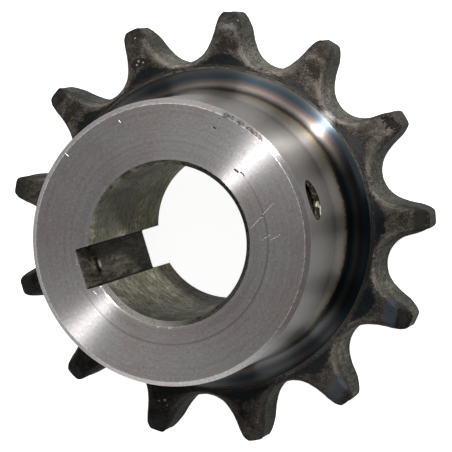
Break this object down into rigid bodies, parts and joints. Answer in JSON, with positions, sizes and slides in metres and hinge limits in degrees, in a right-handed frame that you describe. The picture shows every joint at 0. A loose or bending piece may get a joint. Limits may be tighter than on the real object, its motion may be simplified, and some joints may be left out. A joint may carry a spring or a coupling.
{
  "type": "chain sprocket",
  "caption": "Steel roller chain sprocket with a long hub on one side, a keyed bore, and set screws in tapped holes through the hub.",
  "frame": {"origin": "on the bore's axis, in the plane of the plate's flat back", "axes": "+Z along the bore towards the hub's face, +X through the keyway and the tooth beside it"},
  "size_m": [0.0863, 0.0868, 0.045],
  "materials": {
    "sprocket_steel": "turned steel, satin on the hub, with dark scale on the teeth",
    "set_screw_steel": "blackened steel"
  },
  "bodies": {
    "root": {"sprocket": "sprocket_steel", "keyway_set_screw": "set_screw_steel", "side_set_screw": "set_screw_steel"}
  },
  "joints": []
}
